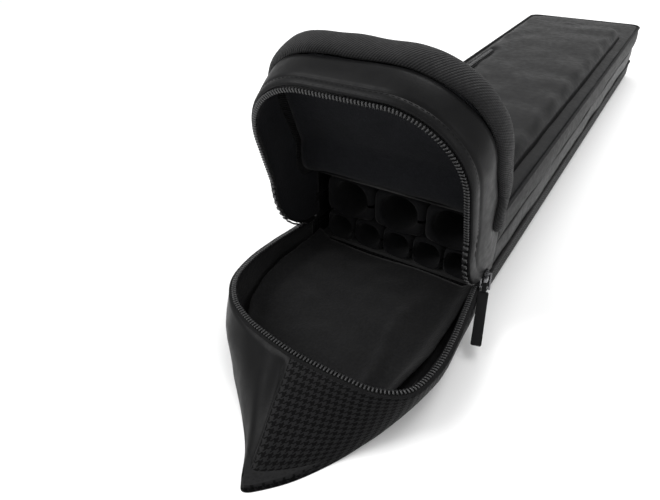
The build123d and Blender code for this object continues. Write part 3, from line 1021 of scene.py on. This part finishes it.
def make_front_panel():
    """Padded front of the body, rolled over at its edges."""
    rows = []
    n = 70
    places = [mix(-2.0, BODY_END - CORNER_R, i / n) for i in range(n + 1)] + corner_steps(BODY_END - 1.0)
    for y in places:
        end = smooth((BODY_END - y) / CORNER_R) * smooth((y + 3.0) / 8 + 0.35)
        half = corner_half(y, HALF_W - 1.0)
        rows.append([(half * u, y, TOP_Z - 3.6 + 3.8 * (1 - abs(u) ** 9) * end) for u in spread(32)])
    panel = loft("front_padding", rows, [VINYL])
    thicken(panel, 2.6, inward_offset(panel, (0, 350, 40)))
    crumple(panel, 1.5, 48.0, 11.0, keep=lambda p: smooth((HALF_W - abs(p.x)) / 10))
    on_case(panel, ("front_panel",))


def make_pocket():
    """Soft front pocket: a crowned cover with a sewn edge, open along its zip."""
    y0, y1 = POCKET_LOW[1], POCKET_HIGH[1]
    half = POCKET_HIGH[0]
    corner = 18.0
    zip_x = (POCKET_TAPE_LOW[0] + POCKET_TAPE_HIGH[0]) / 2
    zip_y0, zip_y1 = POCKET_TAPE_LOW[1], POCKET_TAPE_HIGH[1]
    n, m = 150, 52

    def edge_distance(x, y):
        dx, dy = half - abs(x), min(y - y0, y1 - y)
        if dx < corner and dy < corner:
            return corner - math.hypot(corner - dx, corner - dy)
        return min(dx, dy)

    def height(x, y):
        d = edge_distance(x, y)
        crown = 1 - (1 - clamp01(d / 15)) ** 2.4
        z = mix(TOP_Z + 0.6, CASE_Z - 1.6, crown)
        swell = 1.6 * smooth(d / 50)
        pucker = 0.8 * math.sin((x + y) / 9.0) * math.exp(-((d - 9) / 6) ** 2)
        across = math.exp(-((x - zip_x) / 8.0) ** 2)
        along = smooth((y - zip_y0 + 12) / 14) * smooth((zip_y1 + 12 - y) / 14)
        return z + swell + pucker - 3.4 * across * along

    rows = []
    for i in range(n + 1):
        y = mix(y0, y1, i / n)
        d = min(y - y0, y1 - y)
        trim = corner - math.sqrt(max(corner ** 2 - (corner - min(d, corner)) ** 2, 0.0))
        reach = half - trim
        rows.append([(reach * u, y, height(reach * u, y)) for u in spread(m)])
    cover = loft("pocket_cover", rows, [VINYL])
    crumple(cover, 1.7, 40.0, 12.0, keep=lambda p: smooth(edge_distance(p.x, p.y) / 14))
    thicken(cover, 1.6, inward_offset(cover, (0, 300, 60)))
    on_case(cover, ("pocket_panel", "pocket_gusset"))
    return height


def make_pocket_zip():
    """Tape and teeth of the pocket's straight zip."""
    x = (POCKET_TAPE_LOW[0] + POCKET_TAPE_HIGH[0]) / 2
    y0, y1 = POCKET_TAPE_LOW[1], POCKET_TAPE_HIGH[1]
    z = POCKET_TAPE_HIGH[2]
    line = [(x, mix(y0, y1, k / 40), z, 1.0, 0.0) for k in range(41)]
    strip = tape_strip("pocket_zip_strip", line, -0.6, 0.2, -5.6, 5.6)
    on_case(strip, ("pocket_zip_tape",))
    rows = []
    for side, phase in ((1, 1.0), (-1, 2.3)):
        beside = [(px + 1.6 * side, py, pz, nx * side, ny) for px, py, pz, nx, ny in line]
        rows.append(tooth_row("pocket_chain", beside, 0.1, side, phase))
    chain = join("pocket_zip_chain", rows)
    on_case(chain, ("pocket_zip_teeth",))


def make_patch():
    """Round raised patch with a plain ring and a four-lobed knot."""
    x0 = (PATCH_LOW[0] + PATCH_HIGH[0]) / 2
    y0 = (PATCH_LOW[1] + PATCH_HIGH[1]) / 2
    radius = (PATCH_HIGH[0] - PATCH_LOW[0]) / 2
    rows = []
    n, m = 40, 120
    for i in range(n + 1):
        r = i / n
        row = []
        for j in range(m):
            a = 2 * math.pi * j / m
            ring = math.exp(-((r - 0.84) / 0.05) ** 2)
            knot = math.exp(-((r - 0.44 - 0.2 * math.cos(4 * a)) / 0.07) ** 2)
            edge = smooth((1 - r) / 0.06)
            z = CASE_Z - 0.6 + 1.2 * edge + 0.9 * ring * edge + 0.9 * knot
            reach = radius * max(r, 0.001)
            row.append((x0 + reach * math.cos(a), y0 + reach * math.sin(a), z))
        rows.append(row)
    patch = loft("round_patch", rows, [VINYL_DULL], wrap=True)
    on_case(patch, ("emblem_patch",))


# ---------------- sleeves

def squared_ring(half_u, half_v, power, n):
    """Ring of n points between an ellipse and a rectangle; a higher power is squarer."""
    ring = []
    for k in range(n):
        a = 2 * math.pi * k / n
        c, s = math.cos(a), math.sin(a)
        r = (abs(c) ** power + abs(s) ** power) ** (-1 / power)
        ring.append((half_u * c * r, half_v * s * r))
    return ring


def make_sleeve(node, bore):
    """Lined sleeve with a rolled mouth, square outside and round inside."""
    low, high = box_mm(node)
    cx, cz = (low[0] + high[0]) / 2, (low[2] + high[2]) / 2
    half_x, half_z = (high[0] - low[0]) / 2, (high[2] - low[2]) / 2
    y0, y1 = low[1], high[1]
    n = 40

    def square(y, inset):
        return [(cx + u, y, cz + v) for u, v in squared_ring(half_x - inset, half_z - inset, 6, n)]

    def circle(y, radius):
        return [(cx + u, y, cz + v) for u, v in squared_ring(radius, radius, 2, n)]

    def between(y, a, b, t):
        return [tuple(mix(p, q, t) if k != 1 else y for k, (p, q) in enumerate(zip(u, v)))
                for u, v in zip(a, b)]

    outer, inner = square(y0, 1.0), circle(y0, bore + 0.6)
    rows = [square(y1, 0.3), square(y0 + 40, 0.3), square(y0 + 6, 0.3), square(y0 + 2, 0.6),
            between(y0 + 0.3, outer, inner, 0.25), between(y0 - 0.6, outer, inner, 0.55),
            between(y0 + 0.2, outer, inner, 0.85), circle(y0 + 2.2, bore + 0.3),
            circle(y0 + 6, bore), circle(y0 + 60, bore), circle(y1 - 1, bore)]
    body = loft(node + "_lined", rows + [rows[0]], [SLEEVE])
    work = bmesh.new()
    work.from_mesh(body.data)
    bmesh.ops.remove_doubles(work, verts=work.verts, dist=0.00001)
    work.to_mesh(body.data)
    work.free()
    on_case(body, (node,))


def make_sleeves():
    for mount in frame["record"]["mounts"]:
        if mount["kind"] != "bore":
            continue
        row, _, number = mount["name"].partition("_bay_")
        make_sleeve(f"{row}_sleeve_{number}", mount["dims"]["r_mm"])


# ---------------- trim

def make_handle():
    """Webbing grip that arches off the left side between its two anchors."""
    y0, y1 = HANDLE_LOW[1], HANDLE_HIGH[1]
    z0, z1 = HANDLE_LOW[2], HANDLE_HIGH[2]
    mid_z = (z0 + z1) / 2
    rise = -HALF_W - 0.5 - HANDLE_LOW[0] - 2.0
    rows = []
    n = 48
    for i in range(n + 1):
        t = i / n
        y = mix(y0, y1, t)
        x = -HALF_W - 1.5 - rise * math.sin(math.pi * t) ** 0.55
        grip = smooth((t - 0.2) / 0.1) * smooth((0.8 - t) / 0.1)
        half = (z1 - z0) / 2 * (1 - 0.25 * grip)
        thick = 1.4 + 1.8 * grip
        rows.append([(x + u, y, mid_z + v) for u, v in squared_ring(thick, half, 5, 24)])
    grip = loft("handle_webbing", rows, [WEBBING], wrap=True)
    on_case(grip, ("carry_handle",))


ANCHOR_HALF_Y = 17.0


def make_anchor(name, y):
    """Stitched patch under one end of the handle, centred at y."""
    z0, z1 = ANCHOR_LOW[2], ANCHOR_HIGH[2]
    rows = []
    for t in spread(16):
        row = []
        for u in spread(16):
            edge = (1 - t ** 8) * (1 - u ** 8)
            row.append((-HALF_W - 0.2 - 1.5 * edge, y + ANCHOR_HALF_Y * t, mix(z0, z1, (u + 1) / 2)))
        rows.append(row)
    patch = loft(name, rows, [VINYL_DULL])
    thicken(patch, 1.2, inward_offset(patch, (0, y, (z0 + z1) / 2)))
    corners = [(-1, -1), (1, -1), (1, 1), (-1, 1), (-1, -1), (1, 1), (1, -1), (-1, 1)]
    path = [(-HALF_W - 1.75, y + 13 * a, (z0 + z1) / 2 + 12 * b) for a, b in corners]
    seam = stitch_line(name + "_seam", path, [(-1, 0, 0)] * len(path))
    return [patch, seam]


def make_anchors():
    y0, y1 = ANCHOR_LOW[1] + ANCHOR_HALF_Y, ANCHOR_HIGH[1] - ANCHOR_HALF_Y
    made = join("handle_patches", make_anchor("front_anchor", y0) + make_anchor("rear_anchor", y1))
    on_case(made, ("handle_anchors",))


def paint_cad():
    """Finer materials for the CAD nodes that keep their own shape."""
    finishes = {
        "base_board": BOARD, "front_board": BOARD, "end_pad": BOARD, "zip_slider": METAL,
        "zip_end_stop": METAL, "zip_pull_link": METAL, "zip_pull_tab": VINYL_DULL,
        "pocket_slider": METAL, "pocket_pull": METAL,
    }
    for node, material in finishes.items():
        obj = frame["nodes"][node]
        obj.data.materials.clear()
        obj.data.materials.append(material)


# ---------------- studio

def make_camera():
    camera = bpy.data.cameras.new("camera")
    camera.lens = 29.94
    camera.sensor_width = 36.0
    camera.clip_start = 0.01
    obj = add_object("camera", camera)
    place = Vector((0.1776, -0.3739, 0.3100))
    ahead = Vector((-0.4518, 0.6794, -0.5782)).normalized()
    up = Vector((-0.3013, 0.4938, 0.8157))
    right = ahead.cross(up).normalized()
    up = right.cross(ahead)
    turn = Matrix((right, up, -ahead)).transposed().to_4x4()
    obj.matrix_world = Matrix.Translation(place) @ turn
    bpy.context.scene.camera = obj


def area_light(name, place, target, size, power):
    light = bpy.data.lights.new(name, "AREA")
    light.size = size
    light.energy = power
    obj = add_object(name, light)
    obj.location = place
    obj.rotation_euler = (Vector(target) - Vector(place)).to_track_quat("-Z", "Y").to_euler()


def make_studio():
    reach = 6000
    corners = [(-reach, -reach, 0), (reach, -reach, 0), (reach, reach, 0), (-reach, reach, 0)]
    floor = mesh_piece("floor", corners, [(0, 1, 2, 3)], [plaster("floor_paint", 0.9)])
    area_light("key", (-0.9, -0.7, 1.3), (0, 0.0, 0.05), 0.9, 17.0)
    area_light("side", (1.3, -0.2, 0.7), (0, 0.1, 0.05), 0.7, 3.5)
    area_light("top", (0.1, 0.9, 1.6), (0, 0.3, 0.05), 1.2, 19.0)
    world = bpy.data.worlds.new("studio")
    world.use_nodes = True
    background = world.node_tree.nodes["Background"].inputs
    background["Color"].default_value = (1, 1, 1, 1)
    background["Strength"].default_value = 0.75
    bpy.context.scene.world = world
    bpy.context.scene.view_settings.view_transform = "Standard"


make_camera()
make_studio()
make_hood()
make_lip()
make_lip_lining()
make_back_shell()
make_gussets()
make_piping()
make_front_panel()
make_pocket()
make_pocket_zip()
make_patch()
make_sleeves()
make_handle()
make_anchors()
paint_cad()

bpy.context.view_layer.update()
